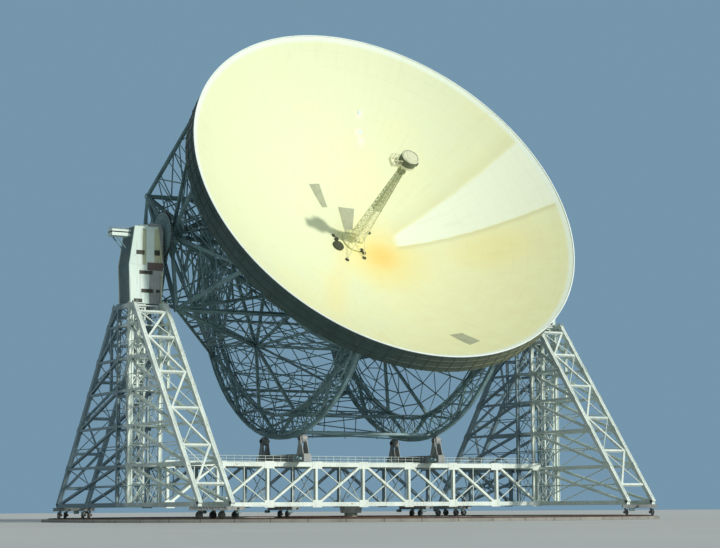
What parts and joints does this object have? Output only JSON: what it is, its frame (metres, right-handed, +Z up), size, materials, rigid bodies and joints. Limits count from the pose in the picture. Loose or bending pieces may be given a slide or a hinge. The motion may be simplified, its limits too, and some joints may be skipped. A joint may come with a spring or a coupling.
{
  "type": "scale model of a fully steerable radio telescope dish",
  "caption": "Dish antenna on a turning base: a dished reflector with a focus mast, backed by ribs and wheel girders, tilts between lattice towers that run on a ring of rails.",
  "frame": {"origin": "centre of the azimuth track, at ground level", "axes": "+X along the elevation axis, -Y the side that the dish faces in the picture, +Z up"},
  "size_m": [11.26, 11.26, 9.2526],
  "materials": {
    "concrete": "weathered cast concrete",
    "rail_steel": "rusty rail with a bright running surface",
    "grey_steel": "grey painted steel, dusty",
    "white_steel": "white painted structural steel, weathered",
    "white_cladding": "white painted ribbed sheet",
    "slate_steel": "slate grey painted structural steel",
    "olive_steel": "dark olive painted sheet steel",
    "reflector_paint": "cream painted steel panels, stained and patched",
    "dark_steel": "dark painted steel"
  },
  "bodies": {
    "track": {"track_foundation": "concrete", "outer_rail": "rail_steel", "inner_rail": "rail_steel", "centre_foundation": "concrete", "centre_rail": "rail_steel", "centre_pivot_post": "concrete"},
    "turntable": {"front_left_bogie": "grey_steel", "rear_left_bogie": "grey_steel", "front_right_bogie": "grey_steel", "rear_right_bogie": "grey_steel", "centre_left_bogie": "grey_steel", "centre_right_bogie": "grey_steel", "left_tower_outer_side": "white_steel", "left_tower_inner_side": "white_steel", "left_tower_front_bracing": "white_steel", "left_tower_rear_bracing": "white_steel", "left_lift_shaft": "white_steel", "left_trunnion_bearing": "grey_steel", "left_head_house": "white_cladding", "right_tower_outer_side": "white_steel", "right_tower_inner_side": "white_steel", "right_tower_front_bracing": "white_steel", "right_tower_rear_bracing": "white_steel", "right_lift_shaft": "white_steel", "right_trunnion_bearing": "grey_steel", "right_head_house": "white_cladding", "diametral_girder_front": "white_steel", "diametral_girder_rear": "white_steel", "diametral_girder_floor": "grey_steel", "diametral_girder_deck": "grey_steel", "pivot_bearing": "grey_steel", "left_wheel_cradle": "grey_steel", "right_wheel_cradle": "grey_steel"},
    "bowl": {"reflector_surface": "reflector_paint", "rear_membrane": "olive_steel", "rim_band": "olive_steel", "rib_frame": "slate_steel", "left_wheel_girder": "slate_steel", "right_wheel_girder": "slate_steel", "wheel_cross_bracing": "slate_steel", "left_trunnion_frame": "slate_steel", "right_trunnion_frame": "slate_steel", "left_trunnion": "grey_steel", "right_trunnion": "grey_steel", "mast_lower": "reflector_paint", "mast_upper": "dark_steel", "focus_drum": "dark_steel", "focus_cage": "grey_steel"}
  },
  "joints": [
    {"name": "azimuth", "type": "hinge", "parent": "track", "child": "turntable", "pos_m": [0, 0, 0], "axis": [0, 0, 1], "range_deg": [-180, 180]},
    {"name": "elevation", "type": "hinge", "parent": "turntable", "child": "bowl", "pos_m": [0, 0, 5.05], "axis": [-1, 0, 0], "range_deg": [-26.5, 58.5]}
  ]
}
